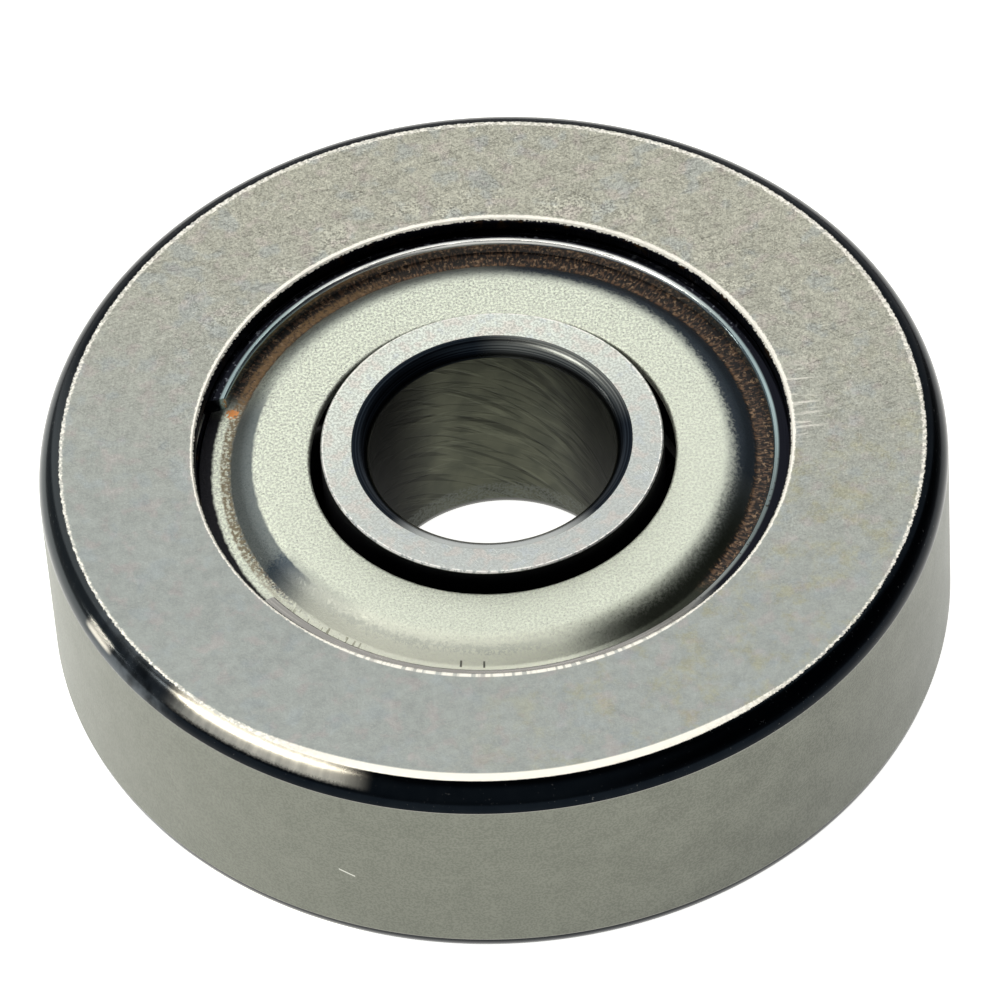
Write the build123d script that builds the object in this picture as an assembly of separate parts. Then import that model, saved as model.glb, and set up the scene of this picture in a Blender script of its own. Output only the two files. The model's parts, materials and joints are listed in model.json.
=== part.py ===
from build123d import *
import os
from math import atan2, cos, radians, sin, tan

# A yoke-type cam follower: a thick roller on a shielded deep-groove ball bearing.
# Millimetres. The origin is the centre of the bore at mid-width, and +Z is the bore's axis.

# Boundary sizes
BORE_RADIUS = 3.0
TREAD_RADIUS = 11.0
WIDTH = 6.0
HALF_WIDTH = WIDTH / 2
TREAD_CORNER = 0.62
BORE_CORNER = 0.40
INNER_RING_RADIUS = 4.16
INNER_RING_EDGE_BREAK = 0.05

# Balls and raceways
BALL_COUNT = 7
BALL_RADIUS = 1.5875
PITCH_RADIUS = 5.4
BALL_PLAY = 0.02
RACE_CURVATURE = 1.04 * BALL_RADIUS

# Shield seat and snap-ring groove, on each side of the outer ring
LAND_RADIUS = 6.55
RECESS_RADIUS = 7.18
RECESS_EDGE_BREAK = 0.08
SEAT_HEIGHT = 1.95
GROOVE_RADIUS = 7.36
GROOVE_HEIGHT_LOW = 2.16
GROOVE_HEIGHT_HIGH = 2.68

# Pressed shield
SHEET = 0.25
SHIELD_HOLE_RADIUS = 4.43
SHIELD_SHOULDER_RADIUS = 5.92
SHIELD_FOOT_RADIUS = 6.38
SHIELD_RIM_RADIUS = 7.12
SHIELD_TOP_HEIGHT = 2.60
SHIELD_BEND = 0.60
SHIELD_FOOT_BEND = 0.10
SHIELD_HOLE_ROUNDING = 0.08

# Snap ring, with slanting ends on both sides of its gap
SNAP_INNER_RADIUS = 6.78
SNAP_OUTER_RADIUS = 7.33
SNAP_THICKNESS = 0.43
SNAP_ROUNDING = 0.09
GAP_START = 162.4
GAP_END = 216.0
GAP_START_SLANT = 6.0
GAP_END_SLANT = 2.5

# Ribbon cage
CAGE_INNER_RADIUS = 4.80
CAGE_OUTER_RADIUS = 6.05
POCKET_PLAY = 0.08
RIVET_RADIUS = 0.22
RIVET_HEAD_RADIUS = 0.35
RIVET_HEAD_HEIGHT = 0.18

OUTER_RACE_RADIUS = PITCH_RADIUS + BALL_RADIUS + BALL_PLAY
INNER_RACE_RADIUS = PITCH_RADIUS - BALL_RADIUS - BALL_PLAY
SHIELD_FLANGE_HEIGHT = SEAT_HEIGHT + SHEET
POCKET_RADIUS = BALL_RADIUS + POCKET_PLAY
BALL_PITCH_ANGLE = 360 / BALL_COUNT


def polar(radius, angle, height=0):
    """The point at that radius and angle about the bore's axis."""
    return (radius * cos(radians(angle)), radius * sin(radians(angle)), height)


def turned(outline):
    """A solid of revolution about Z, from (radius, height) points."""
    edges = Polyline([(r, 0, z) for r, z in outline], close=True)
    return revolve(make_face(edges), Axis.Z)


def both_sides(upper_half):
    """An outline that is the same above and below mid-width."""
    return upper_half + [(r, -z) for r, z in reversed(upper_half)]


def circles_at(solid, radius, height):
    """The circular edges of that radius at plus and minus that height."""
    found = solid.edges().filter_by(GeomType.CIRCLE)
    return found.filter_by(
        lambda e: abs(e.radius - radius) < 1e-4 and abs(abs(e.arc_center.Z) - height) < 1e-4
    )


def outer_ring():
    """Roller with a plain tread, a raceway, and a seat and groove for a shield on each side."""
    recess = [
        (LAND_RADIUS, SEAT_HEIGHT),
        (RECESS_RADIUS, SEAT_HEIGHT),
        (RECESS_RADIUS, GROOVE_HEIGHT_LOW),
        (GROOVE_RADIUS, GROOVE_HEIGHT_LOW),
        (GROOVE_RADIUS, GROOVE_HEIGHT_HIGH),
        (RECESS_RADIUS, GROOVE_HEIGHT_HIGH),
        (RECESS_RADIUS, HALF_WIDTH - RECESS_EDGE_BREAK),
        (RECESS_RADIUS + RECESS_EDGE_BREAK, HALF_WIDTH),
        (TREAD_RADIUS, HALF_WIDTH),
    ]
    blank = turned(both_sides(recess))
    blank = fillet(circles_at(blank, TREAD_RADIUS, HALF_WIDTH), TREAD_CORNER)
    return blank - Torus(OUTER_RACE_RADIUS - RACE_CURVATURE, RACE_CURVATURE)


def inner_ring():
    """Bored ring with rounded bore corners and a raceway on its outside."""
    half = [
        (BORE_RADIUS, HALF_WIDTH),
        (INNER_RING_RADIUS - INNER_RING_EDGE_BREAK, HALF_WIDTH),
        (INNER_RING_RADIUS, HALF_WIDTH - INNER_RING_EDGE_BREAK),
    ]
    blank = turned(both_sides(half))
    blank = fillet(circles_at(blank, BORE_RADIUS, HALF_WIDTH), BORE_CORNER)
    return blank - Torus(INNER_RACE_RADIUS + RACE_CURVATURE, RACE_CURVATURE)


def ball(number):
    """One ball, resting at its own place on the pitch circle."""
    return Pos(*polar(PITCH_RADIUS, (number - 1) * BALL_PITCH_ANGLE)) * Sphere(BALL_RADIUS)


def cage_half():
    """Upper half of the ribbon cage: a flat ring pressed into a round pocket over each ball."""
    crown = POCKET_RADIUS + SHEET
    places = [Pos(*polar(PITCH_RADIUS, i * BALL_PITCH_ANGLE)) for i in range(BALL_COUNT)]
    rivet_places = rivet_positions()
    above = Align.CENTER, Align.CENTER, Align.MIN
    ribbon = Cylinder(CAGE_OUTER_RADIUS, SHEET, align=above)
    for place in places:
        ribbon += place * Sphere(crown)
    band = Cylinder(CAGE_OUTER_RADIUS, crown, align=above)
    band -= Cylinder(CAGE_INNER_RADIUS, crown, align=above)
    half = ribbon & band
    for place in places:
        half -= place * Sphere(POCKET_RADIUS)
    for place in rivet_places:
        half -= place * Cylinder(RIVET_RADIUS, 4 * SHEET)
    return half


def rivet_positions():
    """Midway between the balls, on the pitch circle."""
    return [Pos(*polar(PITCH_RADIUS, (i + 0.5) * BALL_PITCH_ANGLE)) for i in range(BALL_COUNT)]


def rivet():
    """Rivet through both cage halves, with a domed head on each side."""
    dome_radius = (RIVET_HEAD_RADIUS**2 + RIVET_HEAD_HEIGHT**2) / (2 * RIVET_HEAD_HEIGHT)
    dome_centre = SHEET + RIVET_HEAD_HEIGHT - dome_radius
    above = Align.CENTER, Align.CENTER, Align.MIN
    head_space = Pos(0, 0, SHEET) * Cylinder(2 * RIVET_HEAD_RADIUS, RIVET_HEAD_HEIGHT, align=above)
    head = (Pos(0, 0, dome_centre) * Sphere(dome_radius)) & head_space
    return Cylinder(RIVET_RADIUS, 2 * SHEET) + head + mirror(head, Plane.XY)


def cage_rivets():
    """All the rivets, as separate solids."""
    one = rivet()
    return Compound(children=[place * one for place in rivet_positions()])


def shield():
    """Pressed sheet ring: a flat web, a rounded shoulder and a flange that sits on the seat."""
    drop = SHIELD_TOP_HEIGHT - SHIELD_FLANGE_HEIGHT
    run = SHIELD_FOOT_RADIUS - SHIELD_SHOULDER_RADIUS
    shift = SHEET * tan(atan2(drop, run) / 2)
    upper = [
        (SHIELD_HOLE_RADIUS, SHIELD_TOP_HEIGHT),
        (SHIELD_SHOULDER_RADIUS, SHIELD_TOP_HEIGHT),
        (SHIELD_FOOT_RADIUS, SHIELD_FLANGE_HEIGHT),
        (SHIELD_RIM_RADIUS, SHIELD_FLANGE_HEIGHT),
    ]
    lower = [
        (SHIELD_RIM_RADIUS, SEAT_HEIGHT),
        (SHIELD_FOOT_RADIUS - shift, SEAT_HEIGHT),
        (SHIELD_SHOULDER_RADIUS - shift, SHIELD_TOP_HEIGHT - SHEET),
        (SHIELD_HOLE_RADIUS, SHIELD_TOP_HEIGHT - SHEET),
    ]
    ring = turned(upper + lower)
    bends = [
        (SHIELD_SHOULDER_RADIUS, SHIELD_TOP_HEIGHT, SHIELD_BEND + SHEET),
        (SHIELD_SHOULDER_RADIUS - shift, SHIELD_TOP_HEIGHT - SHEET, SHIELD_BEND),
        (SHIELD_FOOT_RADIUS, SHIELD_FLANGE_HEIGHT, SHIELD_FOOT_BEND),
        (SHIELD_FOOT_RADIUS - shift, SEAT_HEIGHT, SHIELD_FOOT_BEND + SHEET),
        (SHIELD_HOLE_RADIUS, SHIELD_TOP_HEIGHT, SHIELD_HOLE_ROUNDING),
    ]
    for radius, height, rounding in bends:
        ring = fillet(circles_at(ring, radius, height), rounding)
    return ring


def snap_ring():
    """Sprung wire ring in the groove, open at a gap whose ends are cut on a slant."""
    low = SHIELD_FLANGE_HEIGHT
    high = low + SNAP_THICKNESS
    ring = turned(
        [
            (SNAP_INNER_RADIUS, low),
            (SNAP_OUTER_RADIUS, low),
            (SNAP_OUTER_RADIUS, high),
            (SNAP_INNER_RADIUS, high),
        ]
    )
    inner_edges = circles_at(ring, SNAP_INNER_RADIUS, low) + circles_at(ring, SNAP_INNER_RADIUS, high)
    ring = fillet(inner_edges, SNAP_ROUNDING)
    outer_edges = circles_at(ring, SNAP_OUTER_RADIUS, low) + circles_at(ring, SNAP_OUTER_RADIUS, high)
    ring = fillet(outer_edges, SNAP_ROUNDING)
    inside = 0.9 * SNAP_INNER_RADIUS
    outside = 1.25 * SNAP_OUTER_RADIUS
    wedge = Polyline(
        [
            polar(inside, GAP_START - GAP_START_SLANT),
            polar(outside, GAP_START + GAP_START_SLANT),
            polar(outside, GAP_END - GAP_END_SLANT),
            polar(inside, GAP_END + GAP_END_SLANT),
        ],
        close=True,
    )
    return ring - extrude(make_face(wedge), amount=2 * HALF_WIDTH)


def turned_over(solid):
    """The same piece on the other side of the bearing, turned half a turn about X."""
    return Rot(180, 0, 0) * solid


def save(name, solid):
    """Writes one piece to its own file."""
    export_step(solid, f"parts/{name}.step")


os.makedirs("parts", exist_ok=True)
save("outer_ring", outer_ring())
save("inner_ring", inner_ring())
for number in range(1, BALL_COUNT + 1):
    save(f"ball_{number}", ball(number))
save("cage_upper_half", cage_half())
save("cage_lower_half", turned_over(cage_half()))
save("cage_rivets", cage_rivets())
save("shield_top", shield())
save("shield_bottom", turned_over(shield()))
save("snap_ring_top", snap_ring())
save("snap_ring_bottom", turned_over(snap_ring()))
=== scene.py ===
import json
from math import atan2, cos, pi, radians, sin, tan

import bmesh
import bpy
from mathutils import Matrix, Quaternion, Vector


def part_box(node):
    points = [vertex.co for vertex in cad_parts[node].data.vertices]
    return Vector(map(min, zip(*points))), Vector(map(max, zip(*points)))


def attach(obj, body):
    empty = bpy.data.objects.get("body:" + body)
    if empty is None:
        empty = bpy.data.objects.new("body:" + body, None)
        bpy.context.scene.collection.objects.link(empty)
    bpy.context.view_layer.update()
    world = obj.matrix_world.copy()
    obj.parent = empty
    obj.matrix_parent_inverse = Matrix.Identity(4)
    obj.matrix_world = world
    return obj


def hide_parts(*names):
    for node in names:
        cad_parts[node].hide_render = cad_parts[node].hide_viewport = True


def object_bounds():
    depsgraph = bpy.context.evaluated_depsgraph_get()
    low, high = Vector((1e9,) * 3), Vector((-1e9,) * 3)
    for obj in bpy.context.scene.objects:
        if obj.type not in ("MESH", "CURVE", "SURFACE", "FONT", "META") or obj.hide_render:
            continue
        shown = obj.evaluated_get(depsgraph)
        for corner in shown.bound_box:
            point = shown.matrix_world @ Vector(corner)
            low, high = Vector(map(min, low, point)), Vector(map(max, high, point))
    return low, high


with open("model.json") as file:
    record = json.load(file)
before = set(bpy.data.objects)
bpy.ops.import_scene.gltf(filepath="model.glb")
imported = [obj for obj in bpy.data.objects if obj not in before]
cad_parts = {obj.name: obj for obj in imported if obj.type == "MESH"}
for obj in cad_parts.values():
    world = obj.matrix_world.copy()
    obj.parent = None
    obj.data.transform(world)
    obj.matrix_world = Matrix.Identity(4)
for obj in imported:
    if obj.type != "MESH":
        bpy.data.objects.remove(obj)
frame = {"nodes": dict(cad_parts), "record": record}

cad_low, cad_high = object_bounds()

# ---------------------------------------------------------------- Inner ring
# A bored ring of through-hardened bearing steel, ground on its two faces and outside, with the ball
# groove cut round its outside. A stud clamps it, so it is the piece that stands still. Its honed bore
# is painted dark as shade, its outer wall in the gap near black as shade, and its ground edges carry
# a painted highlight.

MM = 0.001
TURN_STEPS = 300
CORNER_STEPS = 10
GROOVE_STEPS = 14
SAME_POINT = 0.001 * MM
FLAT_ANGLE = radians(25)

mounts = {mount["name"]: mount for mount in frame["record"]["mounts"]}
WIDTH = cad_high.z - cad_low.z
HALF_WIDTH = WIDTH / 2
BORE_RADIUS = mounts["bore"]["dims"]["r_mm"] * MM
BORE_CORNER = (WIDTH - mounts["bore"]["dims"]["length_mm"] * MM) / 2
INNER_RING_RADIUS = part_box("inner_ring")[1].x
EDGE_BREAK = 0.05 * MM

BALL_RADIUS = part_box("ball_1")[1].z
PITCH_RADIUS = (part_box("ball_1")[0].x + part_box("ball_1")[1].x) / 2
BALL_PLAY = 0.02 * MM
GROOVE_CURVE = 1.04 * BALL_RADIUS


def arc(centre_r, curve, shoulder_r):
    """Points of a ball groove, from its upper shoulder round to its lower one."""
    side = 1 if shoulder_r > centre_r else -1
    depth = abs(shoulder_r - centre_r)
    reach = radians(90) - atan2(depth, (curve**2 - depth**2) ** 0.5)
    angles = [reach * (1 - 2 * i / GROOVE_STEPS) for i in range(GROOVE_STEPS + 1)]
    return [(centre_r + side * curve * cos(a), curve * sin(a)) for a in angles]


def turned(name, outline, rounded, sweep=2 * pi, start=0.0):
    """A turned ring. The outline is drawn point by point, its corners are rounded, and it is spun
    clockwise from the start angle."""
    bpy.ops.object.select_all(action="DESELECT")
    bpy.ops.mesh.primitive_plane_add(size=MM, enter_editmode=True)
    piece = bpy.context.object
    piece.name = name
    piece.data.name = name
    bpy.ops.mesh.merge(type="CENTER")
    points = [Vector((r, 0, z)) for r, z in outline]
    bpy.ops.transform.translate(value=points[0])
    for place, following in zip(points, points[1:] + points[:1]):
        bpy.ops.mesh.extrude_vertices_move(TRANSFORM_OT_translate={"value": following - place})
    bpy.ops.mesh.select_all(action="SELECT")
    bpy.ops.mesh.remove_doubles(threshold=SAME_POINT)
    for r, z, size in rounded:
        corner = Vector((r, 0, z))
        pick_points(piece, lambda v: (v.co - corner).length < 10 * SAME_POINT)
        bpy.ops.mesh.bevel(offset=size, segments=CORNER_STEPS, affect="VERTICES")
    bpy.ops.mesh.select_all(action="SELECT")
    bpy.ops.transform.rotate(value=-start, orient_axis="Z", center_override=(0, 0, 0))
    steps = round(TURN_STEPS * sweep / (2 * pi))
    bpy.ops.mesh.spin(steps=steps, angle=sweep, center=(0, 0, 0), axis=(0, 0, 1))
    bpy.ops.mesh.select_all(action="SELECT")
    bpy.ops.mesh.remove_doubles(threshold=SAME_POINT)
    bpy.ops.mesh.fill_holes(sides=0)
    bpy.ops.mesh.normals_make_consistent(inside=False)
    bpy.ops.object.mode_set(mode="OBJECT")
    return piece


def pick_points(piece, wanted):
    """In edit mode, selects the points that are wanted and nothing else."""
    bpy.ops.mesh.select_all(action="DESELECT")
    shape = bmesh.from_edit_mesh(piece.data)
    for v in shape.verts:
        v.select = wanted(v)
    shape.select_flush_mode()
    bmesh.update_edit_mesh(piece.data)


def smoothed(piece):
    """Round stretches shade smoothly, and flats stay flat right up to them."""
    bpy.ops.object.select_all(action="DESELECT")
    piece.select_set(True)
    bpy.context.view_layer.objects.active = piece
    bpy.ops.object.shade_smooth_by_angle(angle=FLAT_ANGLE)
    bpy.ops.object.modifier_add(type="WEIGHTED_NORMAL")
    piece.modifiers[-1].keep_sharp = True
    bpy.ops.object.modifier_apply(modifier=piece.modifiers[-1].name)


inner_groove_bottom = PITCH_RADIUS - BALL_RADIUS - BALL_PLAY
inner_groove = arc(inner_groove_bottom + GROOVE_CURVE, GROOVE_CURVE, INNER_RING_RADIUS)
inner_outline = [
    (BORE_RADIUS, -HALF_WIDTH),
    (BORE_RADIUS, HALF_WIDTH),
    (INNER_RING_RADIUS - EDGE_BREAK, HALF_WIDTH),
    (INNER_RING_RADIUS, HALF_WIDTH - EDGE_BREAK),
    *inner_groove,
    (INNER_RING_RADIUS, EDGE_BREAK - HALF_WIDTH),
    (INNER_RING_RADIUS - EDGE_BREAK, -HALF_WIDTH),
]
inner_corners = [(BORE_RADIUS, side * HALF_WIDTH, BORE_CORNER) for side in (-1, 1)]
inner_ring = turned("inner_ring_ground", inner_outline, inner_corners)
smoothed(inner_ring)


class Signal:
    """A number that changes over a surface. Arithmetic on it adds Math nodes to its recipe."""

    def __init__(self, recipe, socket):
        self.recipe = recipe
        self.socket = socket

    def maths(self, operation, *values):
        return self.recipe.node("ShaderNodeMath", {"operation": operation}, values)

    def __add__(self, other):
        return self.maths("ADD", self, other)

    def __sub__(self, other):
        return self.maths("SUBTRACT", self, other)

    def __rsub__(self, other):
        return self.maths("SUBTRACT", other, self)

    def __mul__(self, other):
        return self.maths("MULTIPLY", self, other)

    def __pow__(self, other):
        return self.maths("POWER", self, other)

    def __abs__(self):
        return self.maths("ABSOLUTE", self)

    def toward(self, other):
        """The angle of the point (self, other) about the axis."""
        return self.maths("ARCTAN2", other, self)

    __radd__ = __add__
    __rmul__ = __mul__


class Recipe:
    """A node tree, with the few patterns that the finishes and the room are made of."""

    def __init__(self, tree):
        self.tree = tree

    def node(self, kind, settings=(), inputs=(), output=0):
        """Adds one node: its settings first, then its sockets' values or links. Gives one output."""
        made = self.tree.nodes.new(kind)
        for key, value in dict(settings).items():
            setattr(made, key, value)
        pairs = inputs.items() if isinstance(inputs, dict) else enumerate(inputs)
        for key, value in pairs:
            if isinstance(value, Signal):
                self.tree.links.new(value.socket, made.inputs[key])
            else:
                made.inputs[key].default_value = value
        return Signal(self, made.outputs[output])

    def split(self, vector):
        """The three parts of a vector."""
        made = self.node("ShaderNodeSeparateXYZ", inputs=[vector]).socket.node
        return [Signal(self, socket) for socket in made.outputs]

    def joined(self, x, y, z):
        """A vector from three numbers."""
        return self.node("ShaderNodeCombineXYZ", inputs=[x, y, z])

    def step(self, signal, low, high):
        """0 below low and 1 above high, with a smooth rise between. high below low turns it round."""
        settings = {"interpolation_type": "SMOOTHSTEP"}
        if low > high:
            return 1 - self.node("ShaderNodeMapRange", settings, {0: signal, 1: high, 2: low})
        return self.node("ShaderNodeMapRange", settings, {0: signal, 1: low, 2: high})

    def blend(self, amount, first, second):
        """A colour between two, first at 0 and second at 1."""
        settings = {"data_type": "RGBA", "clamp_factor": True}
        colours = [(*c, 1) if isinstance(c, tuple) else c for c in (first, second)]
        return self.node("ShaderNodeMix", settings, {0: amount, 6: colours[0], 7: colours[1]}, 2)


class Finish(Recipe):
    """A surface finish: a Principled shader, and the patterns that feed it, in millimetres."""

    def __init__(self, name):
        self.material = bpy.data.materials.new(name)
        self.material.use_nodes = True
        super().__init__(self.material.node_tree)
        self.shader = self.tree.nodes["Principled BSDF"]
        metres = self.node("ShaderNodeTexCoord", output="Object")
        self.place = self.node("ShaderNodeVectorMath", {"operation": "SCALE"}, {0: metres, "Scale": 1 / MM})
        self.x, self.y, self.z = self.split(self.place)
        self.radius = (self.x * self.x + self.y * self.y) ** 0.5
        self.height = abs(self.z)

    def band(self, signal, low, high, soft=0.01):
        """1 between low and high, fading to 0 over soft on each side."""
        return self.step(signal, low - soft, low + soft) * self.step(signal, high + soft, high - soft)

    def sector(self, centre, half, soft):
        """1 within half a sector of degrees about the bore, fading over soft degrees on each side."""
        a = radians(centre)
        facing = (self.x * cos(a) + self.y * sin(a)) * (self.radius ** -1.0)
        return self.step(facing, cos(radians(half + soft)), cos(radians(half - soft)))

    def noise(self, grain, place=None, detail=2.0, rough=0.5):
        """Cloudy noise whose lumps are about grain millimetres across."""
        inputs = {"Vector": place or self.place, "Scale": 1 / grain, "Detail": detail, "Roughness": rough}
        return self.node("ShaderNodeTexNoise", {}, inputs, "Fac")

    def grit(self, grain):
        """Hard salt and pepper, from -1 to 1, with grains of that size."""
        return 2 * self.step(self.noise(grain, detail=1.0), 0.4, 0.6) - 1

    def hairlines(self, angle, spacing, length, share, place=None):
        """Fine scratches that run at that angle, in degrees. share is about how much they cover."""
        settings = {"vector_type": "TEXTURE"}
        turn = {"Vector": place or self.place, "Rotation": (0, 0, radians(angle))}
        turn["Scale"] = (length, spacing, 1)
        along = self.node("ShaderNodeMapping", settings, turn)
        lumps = self.node("ShaderNodeTexNoise", {}, {"Vector": along, "Scale": 1, "Detail": 2}, "Fac")
        edge = 0.68 - 0.25 * share
        return self.step(lumps, edge, edge + 0.07)

    def girth(self, radius):
        """How far round the bore a point is, in millimetres on a circle of that radius."""
        return self.x.toward(self.y) * radius

    def tinted(self, colour, amount):
        """A colour made lighter or darker by a number near 1."""
        amounts = self.joined(amount, amount, amount)
        return self.node("ShaderNodeVectorMath", {"operation": "MULTIPLY"}, [colour, amounts])

    def bump(self, height, depth):
        """A surface normal from a relief of that depth in millimetres."""
        inputs = {"Strength": 1.0, "Distance": depth * MM, "Height": height}
        return self.node("ShaderNodeBump", {}, inputs, "Normal")

    def wear(self, colour, roughness, height, depth, metallic=1.0):
        """Joins the patterns to the shader and gives the finished material."""
        normal = self.bump(height, depth)
        ends = {"Base Color": colour, "Roughness": roughness, "Metallic": metallic, "Normal": normal}
        for name, end in ends.items():
            if isinstance(end, Signal):
                self.tree.links.new(end.socket, self.shader.inputs[name])
            else:
                self.shader.inputs[name].default_value = end
        return self.material


def coated(piece, finish):
    """Gives a piece a finish in place of any that it had."""
    piece.data.materials.clear()
    piece.data.materials.append(finish)


def dressed(piece, finish, slot, body, *nodes):
    """Gives a piece its finish and body, and hides the CAD nodes that it stands for. The slot is not used."""
    coated(piece, finish)
    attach(piece, body)
    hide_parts(*nodes)


def inner_ring_finish():
    """Ground faces with painted light and a painted edge highlight, a honed bore with slanting
    scratches painted dark as shade, and an outer wall painted near black as shade.
    """
    f = Finish("ground_inner_ring")
    bore_r = BORE_RADIUS / MM
    face_r = bore_r + BORE_CORNER / MM
    ring_r = INNER_RING_RADIUS / MM
    half = HALF_WIDTH / MM
    face = f.band(f.radius, face_r, ring_r - 0.02, 0.006) * f.step(f.height, half - 0.2, half - 0.1)
    # The outer wall in the gap under the shield is painted near black as shade.
    painted_shade_outside = f.step(f.radius, ring_r - 0.06, ring_r - 0.05) * f.step(f.height, half - 0.035, half - 0.045)
    in_groove = f.band(f.radius, ring_r - 0.45, ring_r - 0.06)
    painted_shade_outside = painted_shade_outside + in_groove * f.step(f.height, half - 0.2, half - 0.3)
    corner = f.step(f.radius, face_r + 0.002, face_r - 0.008)
    corner = corner * f.step(f.radius, bore_r + 0.001, bore_r + 0.003)

    # The ground faces, painted lighter and grainier on the back half as painted light, with a painted
    # highlight along their outer edge.
    # Painted light: the back half of the faces is painted lighter and grainier.
    back = f.step(0.95 * f.y - 0.3 * f.x, -3.5, 3.5)
    grit = f.grit(0.06)
    cloud = f.noise(0.42, detail=3)
    lines = f.hairlines(35, 0.035, 0.8, 0.35) + f.hairlines(-50, 0.035, 0.6, 0.3)
    ground = f.blend(back, (0.52, 0.55, 0.54), (0.68, 0.72, 0.67))
    ground = f.blend(f.step(cloud, 0.50, 0.62) * 0.40, ground, (0.66, 0.58, 0.54))
    ground = f.blend(f.step(cloud, 0.42, 0.34) * 0.35, ground, (0.50, 0.55, 0.60))
    ground = f.tinted(ground, 0.97 + (0.07 + 0.12 * back) * grit + 0.12 * lines)
    # A painted highlight along the outer edge of the faces.
    rim_highlight = f.band(f.radius, ring_r - 0.08, ring_r, 0.012) * f.step(f.noise(0.12), 0.38, 0.52)
    ground = f.blend(rim_highlight, ground, (0.95, 0.94, 0.90))

    # The honed bore, painted dark as shade, darker still on its left and right sides as painted shade,
    # and lighter near its lower mouth.
    wall = f.joined(f.girth(bore_r), f.z, 0.0)
    light_marks = f.hairlines(36, 0.24, 2.6, 0.45, wall) + 0.6 * f.hairlines(10, 0.12, 2.2, 0.40, wall)
    dark_marks = f.hairlines(33, 0.20, 2.8, 0.55, wall) + 0.7 * f.hairlines(20, 0.13, 2.0, 0.45, wall)
    # Painted shade: the bore's left and right sides are painted darker.
    left_side = f.sector(172, 34, 26)
    right_side = f.sector(8, 30, 24)
    painted_shade_film = 0.90 * left_side + 0.75 * right_side
    # The bore's own colour is painted dark as shade.
    honed = f.blend(f.step(f.noise(0.7, wall, 3), 0.35, 0.65), (0.058, 0.062, 0.044), (0.078, 0.082, 0.057))
    honed = f.tinted(honed, (1 + 0.30 * light_marks - 0.38 * dark_marks) * (1 - painted_shade_film))
    outlet = f.step(f.z, 1.00 - half, 0.85 - half)
    honed = f.blend(outlet * (0.40 + 0.30 * grit), honed, (0.100, 0.108, 0.095))

    # The turned corners at the bore's two mouths, the lower one lighter, with painted highlights at the
    # back right and at the front.
    rings = f.step(f.noise(0.045, f.joined(f.radius, f.z, 0.0), 3), 0.42, 0.58)
    # A painted highlight on the corner at the back right.
    painted_corner_highlight = f.sector(50, 16, 30) * (0.35 + 0.65 * rings)
    front = f.sector(268, 34, 14)
    turned_corner = f.blend(rings, (0.004, 0.006, 0.010), (0.016, 0.022, 0.030))
    turned_corner = f.blend(painted_corner_highlight, turned_corner, (0.17, 0.18, 0.175))
    # A painted highlight on the corner at the front.
    painted_front_highlight = f.blend(f.step(f.radius, bore_r + 0.20, bore_r + 0.17), (0.46, 0.48, 0.47), (0.98, 0.96, 0.86))
    turned_corner = f.blend(front, turned_corner, painted_front_highlight)
    low_corner = f.blend(rings, (0.07, 0.072, 0.065), (0.13, 0.13, 0.12))
    turned_corner = f.blend(f.step(f.z, 0, -1), turned_corner, low_corner)

    colour = f.blend(face, honed, ground)
    colour = f.blend(corner, colour, turned_corner)
    # The outer wall is painted near black as shade.
    colour = f.blend(painted_shade_outside, colour, (0.006, 0.006, 0.008))
    dull = painted_shade_film * (1 - face) * (1 - corner)
    roughness = 0.36 + 0.10 * cloud - 0.12 * corner + 0.30 * dull
    relief = grit * 0.4 * face + face * lines + (1 - face) * (1 - corner) * (light_marks - dark_marks)
    f.shader.inputs["Specular IOR Level"].default_value = 0.1
    return f.wear(colour, roughness, relief, 0.002, metallic=1 - 0.80 * dull)


dressed(inner_ring, inner_ring_finish(), "ring_steel", "inner_ring", "inner_ring")

# ---------------------------------------------------------------- Balls
# Lapped chrome steel balls between the two grooves. They are made whole in the frame and keep that
# shape; only their surface is dressed, as a mirror with faint rolling bands, painted near black in
# patches as the shade inside the bearing.

def ball_finish():
    """Mirror steel with a few rolling bands, painted near black in patches as shade."""
    f = Finish("lapped_ball")
    bands = f.noise(0.12, f.joined(f.z * 4.0, f.z, 0.0), detail=1)
    painted_shade_film = f.step(f.noise(0.9, detail=3), 0.40, 0.60)
    # The balls are painted near black, in patches, as the shade inside the bearing.
    colour = f.blend(painted_shade_film, (0.060, 0.060, 0.058), (0.015, 0.014, 0.012))
    colour = f.tinted(colour, 0.90 + 0.2 * bands)
    return f.wear(colour, 0.16 + 0.20 * painted_shade_film, bands + painted_shade_film, 0.0005)


lapped = ball_finish()
for name, node in sorted(frame["nodes"].items()):
    if name.startswith("ball_"):
        coated(node, lapped)

# ---------------------------------------------------------------- Cage and rivets
# Two halves pressed from steel strip, with a round pocket over each ball, closed by rivets between
# the balls. The strip is tumbled to a satin finish and painted near black as the shade inside the
# bearing, and the rivet heads are rubbed brighter.

def strip_finish():
    """Tumbled satin steel strip, painted near black in patches as shade, with small dents."""
    f = Finish("tumbled_strip")
    dents = f.noise(0.16, detail=3)
    painted_shade_film = f.step(f.noise(0.7, detail=3), 0.40, 0.62)
    # The strip is painted near black, in patches, as the shade inside the bearing.
    colour = f.blend(painted_shade_film, (0.028, 0.028, 0.026), (0.010, 0.009, 0.008))
    return f.wear(f.tinted(colour, 0.7 + 0.6 * dents), 0.30 + 0.25 * dents, dents, 0.006)


def rivet_finish():
    """Upset rivet heads: brighter on their crowns, with a slight hammered relief."""
    f = Finish("upset_rivet")
    crown = f.step(f.height, 0.30, 0.42)
    hammer = f.noise(0.09, detail=2)
    colour = f.blend(crown, (0.030, 0.030, 0.028), (0.060, 0.060, 0.056))
    return f.wear(f.tinted(colour, 0.7 + 0.6 * hammer), 0.36 - 0.12 * crown, hammer, 0.004)


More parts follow.
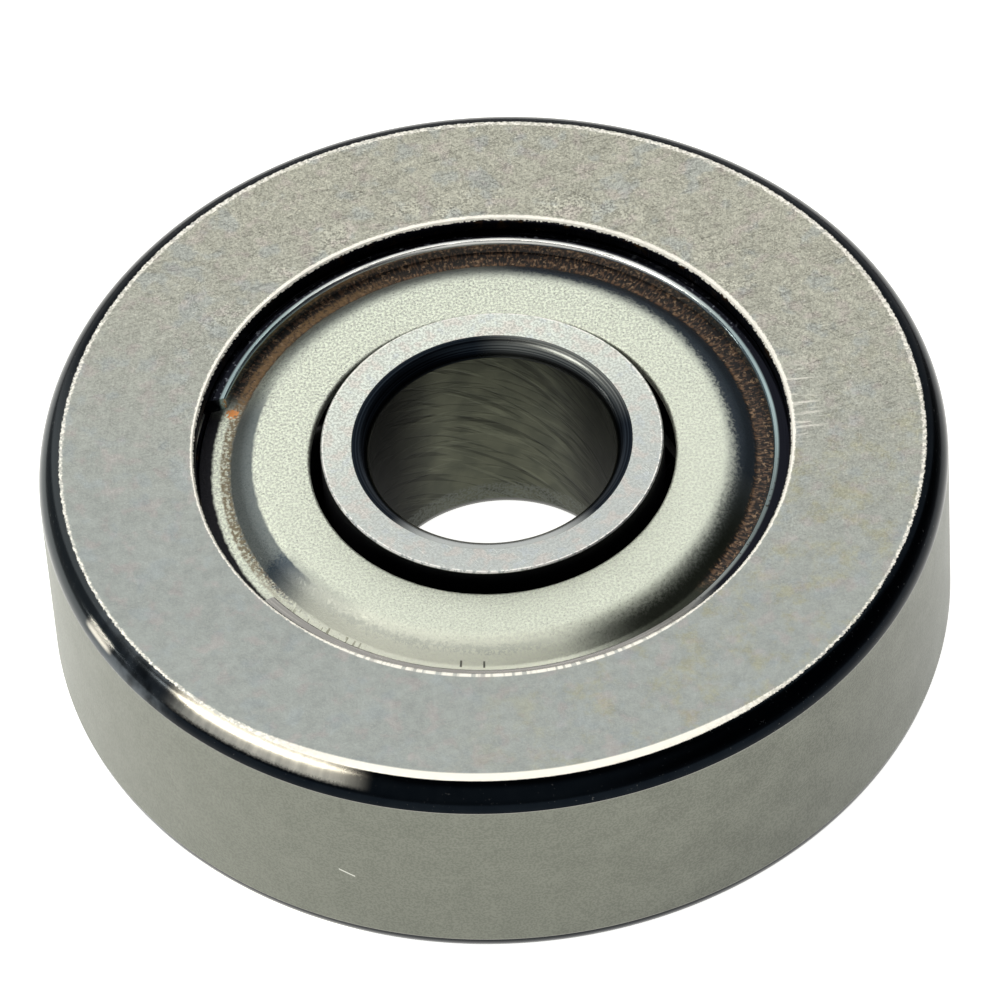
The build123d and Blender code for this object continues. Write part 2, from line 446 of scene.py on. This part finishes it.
tumbled = strip_finish()
for name in ("cage_upper_half", "cage_lower_half"):
    coated(frame["nodes"][name], tumbled)
coated(frame["nodes"]["cage_rivets"], rivet_finish())

# ---------------------------------------------------------------- Outer ring
# The roller itself: a thick ring of bearing steel. Its faces and tread are ground, the corners
# between them are left turned and dark from hardening, and each face has a recess with a seat for
# the shield and a groove for the snap ring.

TREAD_RADIUS = cad_high.x
TREAD_CORNER = (WIDTH - mounts["tread"]["dims"]["length_mm"] * MM) / 2
LAND_RADIUS = 6.55 * MM
SEAT_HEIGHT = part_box("shield_top")[0].z
RECESS_RADIUS = 7.18 * MM
RECESS_BREAK = 0.08 * MM
SNAP_GROOVE_RADIUS = 7.36 * MM
SNAP_GROOVE_LOW = 2.16 * MM
SNAP_GROOVE_HIGH = 2.68 * MM
LIP_WIDTH = 0.06 * MM
LIP_DROP = 0.012 * MM

recess = [
    (LAND_RADIUS, SEAT_HEIGHT),
    (RECESS_RADIUS, SEAT_HEIGHT),
    (RECESS_RADIUS, SNAP_GROOVE_LOW),
    (SNAP_GROOVE_RADIUS, SNAP_GROOVE_LOW),
    (SNAP_GROOVE_RADIUS, SNAP_GROOVE_HIGH),
    (RECESS_RADIUS, SNAP_GROOVE_HIGH),
    (RECESS_RADIUS, HALF_WIDTH - RECESS_BREAK),
    (RECESS_RADIUS + RECESS_BREAK, HALF_WIDTH),
    (TREAD_RADIUS - TREAD_CORNER - LIP_WIDTH, HALF_WIDTH),
    (TREAD_RADIUS, HALF_WIDTH - LIP_DROP),
]
outer_groove_bottom = PITCH_RADIUS + BALL_RADIUS + BALL_PLAY
outer_groove = arc(outer_groove_bottom - GROOVE_CURVE, GROOVE_CURVE, LAND_RADIUS)
outer_outline = recess + [(r, -z) for r, z in reversed(recess)] + list(reversed(outer_groove))
outer_corners = [(TREAD_RADIUS, side * (HALF_WIDTH - LIP_DROP), TREAD_CORNER) for side in (-1, 1)]
outer_ring = turned("outer_ring_ground", outer_outline, outer_corners)
smoothed(outer_ring)


def outer_ring_finish():
    """Ground faces and tread with painted light and shade, black turned corners with painted
    highlights, and a recess painted dark as shade.
    """
    f = Finish("ground_outer_ring")
    half = HALF_WIDTH / MM
    tread_r = TREAD_RADIUS / MM
    corner_r = tread_r - TREAD_CORNER / MM
    recess_r = RECESS_RADIUS / MM
    edge_r = (RECESS_RADIUS + RECESS_BREAK) / MM
    inside = f.step(f.radius, edge_r + 0.004, edge_r - 0.004)
    tread_top = half - TREAD_CORNER / MM
    high = f.step(f.height, tread_top, tread_top + 0.03)
    grit = f.grit(0.055)
    fine = f.grit(0.035)
    front = f.sector(270, 30, 14)
    ragged = f.radius + 0.012 * grit * (1 - front) - 0.01 * front
    corner = f.step(ragged, corner_r + 0.08, corner_r + 0.10) * high
    tread = f.step(f.radius, corner_r, corner_r + 0.01) * (1 - high)

    # The ground faces: clouds of pink, blue and stain, fine threads, painted light on the back half with
    # painted glints and sheen, and painted highlights along the rims.
    cloud = f.noise(0.9, detail=4)
    # Painted light: the back half of the faces is painted lighter and yellower, with stronger grain, threads
    # and glints.
    back = f.step(f.y + 0.25 * f.x, -6, 8)
    threads = f.hairlines(6, 0.045, 1.3, 0.40) + f.hairlines(82, 0.045, 0.9, 0.35)
    threads = threads + f.hairlines(38, 0.04, 0.8, 0.30) - f.hairlines(-40, 0.045, 0.9, 0.40)
    threads = threads - f.hairlines(14, 0.05, 1.1, 0.30)
    # Small painted highlights, as glints.
    painted_glints = f.step(f.noise(0.06, detail=2), 0.60, 0.68)
    ground = f.blend(back, (0.352, 0.378, 0.366), (0.420, 0.418, 0.355))
    pink = f.step(f.noise(0.50, detail=3), 0.52, 0.66)
    ground = f.blend(pink * 0.32, ground, (0.45, 0.38, 0.38))
    blue = f.step(f.noise(0.65, detail=3), 0.46, 0.34)
    ground = f.blend(blue * 0.35, ground, (0.34, 0.385, 0.41))
    stain = f.step(f.noise(0.7, detail=6, rough=0.7), 0.48, 0.66) * f.sector(-42, 46, 18)
    ground = f.blend(stain * 0.50, ground, (0.39, 0.375, 0.24))
    strength = 0.22 + 1.08 * back
    lumps = f.noise(0.24, detail=4) - 0.5
    mottle = 0.90 + 0.20 * cloud + (0.13 * grit + 0.07 * fine + 0.30 * painted_glints) * strength
    mottle = mottle + (0.40 + 0.15 * back) * lumps
    # Scuffs near the recess, painted brighter on the back half as a painted sheen.
    scuffs_and_painted_sheen = f.step(f.noise(0.8, detail=4), 0.46, 0.60)
    scuffs_and_painted_sheen = scuffs_and_painted_sheen * f.band(f.radius, edge_r, edge_r + 0.9, 0.4) * back
    ground = f.tinted(ground, mottle + 0.13 * threads * strength + scuffs_and_painted_sheen * (0.08 + 0.18 * grit))
    nicks = f.hairlines(2, 0.11, 1.3, 0.60)
    nicks = nicks * f.band(f.radius, edge_r, edge_r + 0.7, 0.25) * f.sector(4, 8, 4)
    rough_edge = f.step(f.noise(0.10, detail=2), 0.40, 0.60)
    round_recess = f.joined(f.girth(recess_r), 0.0, 0.0)
    dashes = 1 - front * f.step(f.noise(0.20, round_recess, 2), 0.52, 0.42)
    # Painted highlights along the inner and outer rims of the faces.
    inner_rim_highlight = f.step(ragged - 0.07 * back - 0.05 * front, edge_r + 0.045, edge_r + 0.005)
    inner_rim_highlight = inner_rim_highlight * (0.25 + 0.75 * dashes)
    outer_rim_highlight = f.step(ragged + 0.05 * back + 0.16 * front, corner_r, corner_r + 0.05)
    outer_rim_highlight = outer_rim_highlight * (front + (1 - front) * (0.3 + 0.7 * rough_edge))
    ground = f.blend(inner_rim_highlight + outer_rim_highlight + nicks * 0.45, ground, (0.98, 0.95, 0.87))

    # The tread, with one short scratch, painted lighter on the left and darker in patches on the right
    # as painted light and shade.
    along = f.girth(tread_r)
    belt = f.joined(along, f.z, 0.0)
    rolled = f.blend(f.noise(0.55, detail=4), (0.143, 0.151, 0.126), (0.182, 0.188, 0.160))
    laps = f.hairlines(0, 0.05, 4.0, 0.4, belt)
    # Painted light and shade: the tread is painted lighter on the left and darker on the right, partly in
    # patches.
    patchy = f.step(f.noise(1.1, belt, 4), 0.40, 0.60) * f.sector(320, 40, 20)
    lightness = 1 + 0.10 * grit + 0.06 * laps + 0.08 * f.sector(205, 30, 20)
    rolled = f.tinted(rolled, lightness - 0.14 * f.sector(335, 35, 20) - 0.08 * patchy)
    scratch_slope = 0.35 * (along + 21.5)
    scratch = f.band(along, -21.72, -21.32) * f.band(f.z + scratch_slope, -0.455, -0.415)
    rolled = f.blend(scratch, rolled, (0.60, 0.60, 0.55))

    # The dark scale on the corners, painted lighter on the left and with a bluish smudge as painted
    # reflection, and two painted highlights.
    # Two painted highlights where the lamps on the left catch the corner.
    low_highlight = f.step(f.height + 0.008 * grit, half - 0.31, half - 0.19) * f.sector(236, 12, 4)
    streaks = 0.44 + 0.8 * f.noise(0.22, f.joined(along, f.height * 0.3, 0.0), 3)
    small_highlight = f.band(f.height, half - 0.34, half - 0.16, 0.05) * f.sector(207.5, 1.3, 2.2)
    specks = f.step(f.noise(0.06, detail=2), 0.71, 0.74)
    scaled = f.blend(f.noise(0.4, belt), (0.0025, 0.0040, 0.0065), (0.0065, 0.0090, 0.0120))
    # Painted reflection: the corner is painted lighter on the left, with a bluish smudge.
    scaled = f.blend(f.sector(190, 20, 14) * 0.8, scaled, (0.060, 0.068, 0.072))
    painted_reflection_smudge = f.step(f.noise(0.45, belt, 3), 0.30, 0.65) * f.sector(213, 6, 5)
    scaled = f.blend(painted_reflection_smudge * 0.6, scaled, (0.10, 0.115, 0.13))
    scaled = f.blend(specks * 0.15, scaled, (0.30, 0.30, 0.29))
    painted_highlights = low_highlight * streaks + small_highlight
    scaled = f.blend(painted_highlights, scaled, (0.80, 0.76, 0.66))

    # The recess, painted dark as shade with rust, and a painted highlight on its edge.
    rust = f.step(f.noise(0.35, detail=4), 0.56, 0.66)
    # The recess is painted near black as shade, with rust.
    recess_rust_and_painted_shade = f.blend(rust, (0.005, 0.005, 0.008), (0.030, 0.017, 0.009))
    lip_middle = (recess_r + edge_r) / 2
    lip_foot = half - RECESS_BREAK / MM
    # A painted highlight on the edge of the recess.
    lip_highlight = f.step(f.radius + 0.05 * front + 0.012 * grit, lip_middle - 0.005, lip_middle + 0.005)
    lip_highlight = lip_highlight * f.step(f.height, lip_foot - 0.01, lip_foot + 0.01)
    recess_rust_and_painted_shade = f.blend(lip_highlight * (0.3 + 0.7 * dashes), recess_rust_and_painted_shade, (0.98, 0.95, 0.86))

    colour = f.blend(tread, ground, rolled)
    colour = f.blend(corner, colour, scaled)
    colour = f.blend(inside, colour, recess_rust_and_painted_shade)
    roughness = 0.36 + 0.08 * cloud - 0.22 * corner + 0.16 * corner * painted_highlights
    relief = grit * 0.5 * (1 - corner) + threads * (1 - corner) * (1 - tread) * strength + specks * corner
    return f.wear(colour, roughness, relief, 0.002, metallic=1 - 0.85 * lip_highlight * inside)


dressed(outer_ring, outer_ring_finish(), "ring_steel", "outer_ring", "outer_ring")

# ---------------------------------------------------------------- Shields
# A ring pressed from thin plated sheet: a flat web, a rounded shoulder down, and a flange that sits
# on the seat in the outer ring. It has a matt, finely sparkling plating, with painted shade and a
# painted highlight on the shoulder, and grime, rust and painted shadow where the flange meets the
# snap ring.

SHEET = 0.25 * MM
SHIELD_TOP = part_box("shield_top")[1].z
FLANGE_TOP = SEAT_HEIGHT + SHEET
SHIELD_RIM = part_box("shield_top")[1].x
SHIELD_HOLE = 4.43 * MM
SHOULDER_RADIUS = 5.92 * MM
FOOT_RADIUS = 6.38 * MM
SHOULDER_BEND = 0.60 * MM
FOOT_BEND = 0.10 * MM
HOLE_ROUNDING = 0.08 * MM

slope = atan2(SHIELD_TOP - FLANGE_TOP, FOOT_RADIUS - SHOULDER_RADIUS)
bend_reach = tan(slope / 2)
shift = SHEET * bend_reach
shield_outline = [
    (SHIELD_HOLE, SHIELD_TOP),
    (SHOULDER_RADIUS, SHIELD_TOP),
    (FOOT_RADIUS, FLANGE_TOP),
    (SHIELD_RIM, FLANGE_TOP),
    (SHIELD_RIM, SEAT_HEIGHT),
    (FOOT_RADIUS - shift, SEAT_HEIGHT),
    (SHOULDER_RADIUS - shift, SHIELD_TOP - SHEET),
    (SHIELD_HOLE, SHIELD_TOP - SHEET),
]
shield_bends = [
    (SHOULDER_RADIUS, SHIELD_TOP, (SHOULDER_BEND + SHEET) * bend_reach),
    (SHOULDER_RADIUS - shift, SHIELD_TOP - SHEET, SHOULDER_BEND * bend_reach),
    (FOOT_RADIUS, FLANGE_TOP, FOOT_BEND * bend_reach),
    (FOOT_RADIUS - shift, SEAT_HEIGHT, (FOOT_BEND + SHEET) * bend_reach),
    (SHIELD_HOLE, SHIELD_TOP, HOLE_ROUNDING),
]


def turned_over(piece, name):
    """A copy for the other side of the bearing, turned half a turn about X, with its own mesh."""
    bpy.ops.object.select_all(action="DESELECT")
    piece.select_set(True)
    bpy.context.view_layer.objects.active = piece
    bpy.ops.object.duplicate()
    copy = bpy.context.object
    copy.name = name
    copy.data.name = name
    bpy.ops.transform.rotate(value=pi, orient_axis="X", center_override=(0, 0, 0))
    bpy.ops.object.transform_apply(location=True, rotation=True, scale=True)
    return copy


def shield_finish():
    """Matt sparkling plate, its grain painted stronger at the back as painted light, with painted
    shade and a painted highlight on the shoulder, and rust, grime and painted shadow on the flange.
    """
    f = Finish("plated_shield")
    foot = FOOT_RADIUS / MM
    # Painted light: the plate's grain and specks are painted stronger on the back half.
    back = f.step(f.y - 0.4 * f.x, -4, 5)
    sparkle = 2 * f.step(f.noise(0.065, detail=4, rough=0.7), 0.43, 0.57) - 1
    specks = f.step(f.noise(0.05, detail=2), 0.60, 0.67)
    cloud = f.noise(0.7, detail=3)
    plated = f.blend(cloud, (0.72, 0.765, 0.665), (0.80, 0.845, 0.74))
    plated = f.tinted(plated, 0.99 + (0.13 + 0.12 * back) * sparkle - (0.26 + 0.22 * back) * specks)

    # Painted shade and a painted highlight on the shoulder, and a thin grey line along its bend at the
    # front.
    ragged = f.radius + 0.22 * (f.noise(0.10, detail=3) - 0.5) + 0.05 * sparkle
    above_foot = f.step(ragged, foot + 0.08, foot + 0.02)
    shoulder = f.step(ragged, foot - 0.85, foot - 0.30)
    # Painted shade in dark patches round the shoulder.
    painted_shoulder_shade = 0.95 * f.sector(-2, 30, 28) + 0.75 * f.sector(40, 30, 25) + 0.70 * f.sector(100, 45, 25)
    plated = f.blend(shoulder * painted_shoulder_shade, plated, (0.040, 0.054, 0.072))
    soft_r = f.radius + 0.08 * (f.noise(0.12, detail=3) - 0.5)
    # Painted shade on the shoulder at the left.
    painted_left_shade = f.step(soft_r, foot - 0.60, foot - 0.52) * f.sector(187, 30, 8) * 0.90
    cloudy_r = f.radius + 0.25 * (f.noise(0.30, detail=3) - 0.5)
    painted_left_shade = painted_left_shade + f.step(cloudy_r, foot - 0.85, foot - 0.55) * f.sector(221, 7, 9) * 0.55
    painted_left_shade = painted_left_shade * above_foot * (0.88 + 0.08 * sparkle)
    plated = f.blend(painted_left_shade, plated, (0.062, 0.086, 0.112))
    # A painted highlight on the bend at the front.
    painted_bend_highlight = shoulder * f.sector(252, 32, 12)
    plated = f.blend(painted_bend_highlight * 0.8, plated, (0.95, 0.97, 0.87))
    thin_line = f.band(ragged, foot - 0.40, foot - 0.28, 0.05) * f.sector(250, 26, 10)
    plated = f.blend(thin_line * 0.30, plated, (0.25, 0.30, 0.30))
    # Painted shade, near black, on the shoulder at the front right.
    painted_shade_patch = f.step(ragged, foot - 0.80, foot - 0.15) * f.sector(-43, 24, 12)
    plated = f.blend(painted_shade_patch * 0.97, plated, (0.016, 0.020, 0.012))

    # Rust on the flange, painted dark as shade at the back, grime, and a painted shadow in the snap
    # ring's gap.
    rim_r = f.radius + 0.10 * (f.noise(0.15, detail=3) - 0.5)
    # Rust on the flange, darkened at the back as painted shade.
    flange_rust_and_painted_shade = f.sector(59, 100, 4) * f.step(rim_r, foot - 0.10, foot)
    round_foot = f.girth(foot)
    fur = f.noise(0.09, f.joined(round_foot * 1.6, f.radius * 0.5, 0.0), 4)
    brown = f.blend(f.step(fur, 0.50, 0.60), (0.010, 0.007, 0.007), (0.130, 0.072, 0.042))
    brown = f.blend(f.step(f.noise(0.08, detail=3), 0.58, 0.66), brown, (0.34, 0.22, 0.13))
    fresh_rust = f.band(rim_r, foot - 0.02, foot + 0.10, 0.04) * f.step(fur, 0.40, 0.60)
    brown = f.blend(fresh_rust * 0.5, brown, (0.22, 0.12, 0.06))
    plated = f.blend(flange_rust_and_painted_shade * 0.97, plated, brown)
    crust = f.step(f.noise(0.10, detail=3), 0.42, 0.54)
    grime = f.band(rim_r, foot - 0.01, foot + 0.24, 0.04) * f.sector(163, 48, 12) * (0.35 + 0.65 * crust)
    grime_tone = f.blend(f.sector(186, 22, 8), (0.21, 0.125, 0.055), (0.17, 0.125, 0.065))
    plated = f.blend(grime * 0.88, plated, grime_tone)
    # A painted shadow on the flange in the snap ring's gap.
    painted_gap_shadow = f.step(rim_r, foot + 0.40, foot + 0.48) * f.sector(192, 32, 4)
    plated = f.blend(painted_gap_shadow, plated, (0.008, 0.008, 0.012))
    strokes = f.hairlines(62, 0.07, 0.5, 0.45) * f.band(f.radius, foot, foot + 0.45) * f.sector(229, 10, 5)
    plated = f.blend(strokes * 0.75, plated, (0.30, 0.30, 0.21))

    # A fleck of rust by the snap ring's end, and two short scratches.
    fleck_x, fleck_y = -6.26, 2.14
    from_fleck = ((f.x - fleck_x) ** 2.0 + (f.y - fleck_y) ** 2.0) ** 0.5
    fleck = f.step(from_fleck + 0.05 * sparkle, 0.15, 0.11)
    plated = f.blend(fleck, plated, (0.80, 0.33, 0.11))
    ticks = f.band(round_foot, -11.16, -11.11) + f.band(round_foot, -10.60, -10.555)
    ticks = ticks * f.band(f.radius, foot - 0.10, foot + 0.03)
    plated = f.blend(ticks * 0.9, plated, (0.04, 0.04, 0.03))

    roughness = 0.46 + 0.06 * sparkle + 0.10 * flange_rust_and_painted_shade + 0.22 * painted_bend_highlight
    metallic = 0.75 - 0.5 * flange_rust_and_painted_shade - 0.4 * shoulder * f.sector(240, 20, 14)
    return f.wear(plated, roughness, sparkle * 0.3 - specks * 0.5, 0.004, metallic)


plated = shield_finish()
shield_top = turned("shield_top_pressed", shield_outline, shield_bends)
smoothed(shield_top)
shield_bottom = turned_over(shield_top, "shield_bottom_pressed")
dressed(shield_top, plated, "shield_sheet", "outer_ring", "shield_top")
dressed(shield_bottom, plated, "shield_sheet", "outer_ring", "shield_bottom")

# ---------------------------------------------------------------- Snap rings
# A ring of hard spring wire that springs into the groove over the shield's flange. It is open at a
# gap, whose ends are cut on a slant so that a pick can lift them.

SNAP_INNER = 6.78 * MM
SNAP_OUTER = 7.33 * MM
SNAP_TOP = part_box("snap_ring_top")[1].z
SNAP_ROUNDING = 0.09 * MM
GAP_START = 162.4
GAP_END = 216.0
START_SLANT = 6.0
END_SLANT = 2.5
SPARE = 14.0
CUT_REACH = 2.2 * MM
CUT_FROM = 0.9 * SNAP_INNER
CUT_TO = 1.25 * SNAP_OUTER

snap_outline = [
    (SNAP_INNER, FLANGE_TOP),
    (SNAP_INNER, SNAP_TOP),
    (SNAP_OUTER, SNAP_TOP),
    (SNAP_OUTER, FLANGE_TOP),
]
snap_corners = [(r, z, SNAP_ROUNDING) for r, z in snap_outline]


def spot(radius, angle):
    """The point at that radius and angle, in degrees, about the bore."""
    return Vector((radius * cos(radians(angle)), radius * sin(radians(angle)), 0))


def cut_end(piece, inner_spot, outer_spot, near, cleared):
    """Cuts one end of the wire along the upright plane through two spots, and closes the cut."""
    bpy.ops.object.mode_set(mode="EDIT")
    pick_points(piece, lambda v: (v.co.xy - near.xy).length < CUT_REACH)
    along = outer_spot - inner_spot
    across = Vector((-along.y, along.x, 0)).normalized()
    bpy.ops.mesh.bisect(
        plane_co=inner_spot,
        plane_no=across,
        use_fill=True,
        clear_outer=cleared == "outer",
        clear_inner=cleared == "inner",
        threshold=SAME_POINT / 10,
    )
    bpy.ops.mesh.select_all(action="SELECT")
    bpy.ops.mesh.normals_make_consistent(inside=False)
    bpy.ops.object.mode_set(mode="OBJECT")


def snap_finish():
    """Drawn wire: a painted highlight along its inner edge, dimmer at the sides, a lighter top at
    the front as painted light with a painted shadow line inside it, and painted shade elsewhere.
    """
    f = Finish("drawn_wire")
    inner = SNAP_INNER / MM
    run = f.joined(f.girth(inner), f.radius * 3.0, f.z * 3.0)
    draw_lines = f.hairlines(0, 0.10, 2.5, 0.5, run)
    # The top is painted lighter at the front and dark as shade elsewhere.
    painted_lit_front = f.sector(262, 50, 6)
    painted_shade_patch = f.step(f.radius, inner + 0.10, inner + 0.16) * (1 - painted_lit_front)
    # The wire is painted near white as a highlight along its inner edge, dimmer and teal at the right and
    # left.
    dim_side_highlights = f.sector(0, 40, 20) + f.sector(155, 25, 15)
    colour = f.blend(dim_side_highlights, (0.92, 0.92, 0.90), (0.36, 0.46, 0.47))
    colour = f.blend(painted_lit_front, colour, (0.37, 0.36, 0.34))
    # A painted shadow line just inside the inner edge at the front.
    colour = f.blend(f.step(f.radius, inner + 0.06, inner + 0.02) * painted_lit_front, colour, (0.07, 0.062, 0.05))
    colour = f.tinted(colour, 0.85 + 0.2 * draw_lines)
    specks = f.step(f.noise(0.10, detail=3), 0.60, 0.68)
    # The colour of the painted shade, with grey specks.
    painted_shade_film = f.blend(specks * (1 - f.sector(-10, 35, 10)), (0.010, 0.011, 0.016), (0.12, 0.13, 0.15))
    # The top on the right is painted darker as shade.
    colour = f.blend(f.sector(-32, 22, 14) * (0.6 + 0.4 * specks), colour, (0.050, 0.050, 0.042))
    colour = f.blend(painted_shade_patch, colour, painted_shade_film)
    return f.wear(colour, 0.12 + 0.10 * specks, draw_lines, 0.001)


# The wire is made a little too long, and its two ends are then cut off on the slant.
snap_top = turned(
    "snap_ring_top_sprung",
    snap_outline,
    snap_corners,
    sweep=radians(360 - (GAP_END - GAP_START) + 2 * SPARE),
    start=radians(GAP_START + SPARE),
)
cut_end(
    snap_top,
    spot(CUT_FROM, GAP_END + END_SLANT),
    spot(CUT_TO, GAP_END - END_SLANT),
    spot(SNAP_INNER, GAP_END - SPARE / 2),
    "inner",
)
cut_end(
    snap_top,
    spot(CUT_FROM, GAP_START - START_SLANT),
    spot(CUT_TO, GAP_START + START_SLANT),
    spot(SNAP_INNER, GAP_START + SPARE / 2),
    "outer",
)
smoothed(snap_top)
snap_bottom = turned_over(snap_top, "snap_ring_bottom_sprung")
drawn = snap_finish()
dressed(snap_top, drawn, "spring_wire", "outer_ring", "snap_ring_top")
dressed(snap_bottom, drawn, "spring_wire", "outer_ring", "snap_ring_bottom")

# ---------------------------------------------------------------- Studio
# A pale glowing table, a wide soft panel behind the roller with a narrow strip above it, and on the
# left a small bright box and a low strip. The room is pale in front of the roller and darker round
# the rest, and a shadow is painted on the table where the roller covers it.

TABLE_GAP = 0.03 * MM
TABLE_SIZE = 2.0
bpy.ops.object.select_all(action="DESELECT")
bpy.ops.mesh.primitive_plane_add(size=TABLE_SIZE, location=(0, 0, cad_low.z - TABLE_GAP))
table = bpy.context.object
table.name = "light_table"
opal = Finish("opal_table")
opal.shader.inputs["Base Color"].default_value = (0.80, 0.80, 0.78, 1)
opal.shader.inputs["Roughness"].default_value = 0.9
# A shadow is painted on the table where the roller covers it: its glow is taken out there.
painted_contact_shadow = opal.band(opal.radius, INNER_RING_RADIUS / MM, (TREAD_RADIUS - TREAD_CORNER) / MM, 0.3)
glow = opal.blend(painted_contact_shadow, (1.0, 1.0, 0.98), (0.0, 0.0, 0.0))
opal.tree.links.new(glow.socket, opal.shader.inputs["Emission Color"])
opal.shader.inputs["Emission Strength"].default_value = 1.0
underside = opal.node("ShaderNodeNewGeometry", output="Backfacing")
lit_top = Signal(opal, opal.shader.outputs[0])
either = opal.node("ShaderNodeMixShader", inputs=[underside, lit_top, opal.node("ShaderNodeBsdfTransparent")])
opal.tree.links.new(either.socket, opal.tree.nodes["Material Output"].inputs[0])
table.data.materials.append(opal.material)


def softbox(name, azimuth, elevation, distance, width, height, radiance, colour):
    """A rectangular lamp that faces the roller. Azimuth 0 is behind it, and turns towards +X."""
    a, e = radians(azimuth), radians(elevation)
    toward = Vector((sin(a) * cos(e), cos(a) * cos(e), sin(e)))
    lamp = bpy.data.lights.new(name, "AREA")
    lamp.shape = "RECTANGLE"
    lamp.size = width
    lamp.size_y = height
    lamp.energy = radiance * pi * width * height
    lamp.color = colour
    box = bpy.data.objects.new(name, lamp)
    box.location = toward * distance
    box.rotation_mode = "QUATERNION"
    box.rotation_quaternion = toward.to_track_quat("Z", "Y")
    box.visible_camera = False
    bpy.context.scene.collection.objects.link(box)


softbox("back_panel", 0, 36, 0.60, 1.00, 0.66, 1.0, (1.0, 0.995, 0.97))
softbox("top_strip", 0, 68, 0.60, 0.50, 0.08, 2.5, (1.0, 0.97, 0.88))
softbox("left_box", -84, 62, 0.50, 0.14, 0.14, 12.0, (1.0, 0.96, 0.86))
softbox("low_left_strip", -81, 18, 0.50, 0.05, 0.03, 12.0, (1.0, 0.97, 0.9))

world = bpy.data.worlds.new("studio_room")
bpy.context.scene.world = world
world.use_nodes = True
room = Recipe(world.node_tree)
room_x, room_y, room_z = room.split(room.node("ShaderNodeTexCoord", output="Generated"))
front = room.step(room_y, 0.05, -0.45) * room.step(room_x, 0.55, 0.10)
left = room.step(room_x, -0.25, -0.80)
low = room.step(room_z, 0.40, 0.10)
walls = room.blend(front, (0.05, 0.053, 0.06), (0.73, 0.73, 0.70))
walls = room.blend(left * 0.6, walls, (0.32, 0.36, 0.40))
walls = room.blend(low * 0.6, walls, (0.34, 0.34, 0.34))
seen = room.node("ShaderNodeLightPath", output="Is Camera Ray")
walls = room.blend(seen, walls, (1.0, 1.0, 1.0))
room.tree.links.new(walls.socket, room.tree.nodes["Background"].inputs[0])

# The camera looks down on the roller from the front, from far off, and is rolled a little.
CAMERA_TILT = radians(49.55)
CAMERA_ROLL = radians(4.02)
CAMERA_DISTANCE = 20 * TREAD_RADIUS
HALF_VIEW_TANGENT = 0.0545
AIM_RIGHT = 0.0087 * TREAD_RADIUS
AIM_FORWARD = 0.1712 * TREAD_RADIUS
aim = Vector((AIM_RIGHT, -AIM_FORWARD, HALF_WIDTH))
lens = bpy.data.cameras.new("camera")
lens.sensor_width = 36.0
lens.lens = lens.sensor_width / 2 / HALF_VIEW_TANGENT
lens.clip_start = 0.01
lens.clip_end = 10.0
camera = bpy.data.objects.new("camera", lens)
back = Vector((0, -cos(CAMERA_TILT), sin(CAMERA_TILT)))
camera.location = aim + back * CAMERA_DISTANCE
camera.rotation_mode = "QUATERNION"
camera.rotation_quaternion = Quaternion(back, -CAMERA_ROLL) @ back.to_track_quat("Z", "Y")
bpy.context.scene.collection.objects.link(camera)
bpy.context.scene.camera = camera
bpy.context.scene.view_settings.view_transform = "Standard"
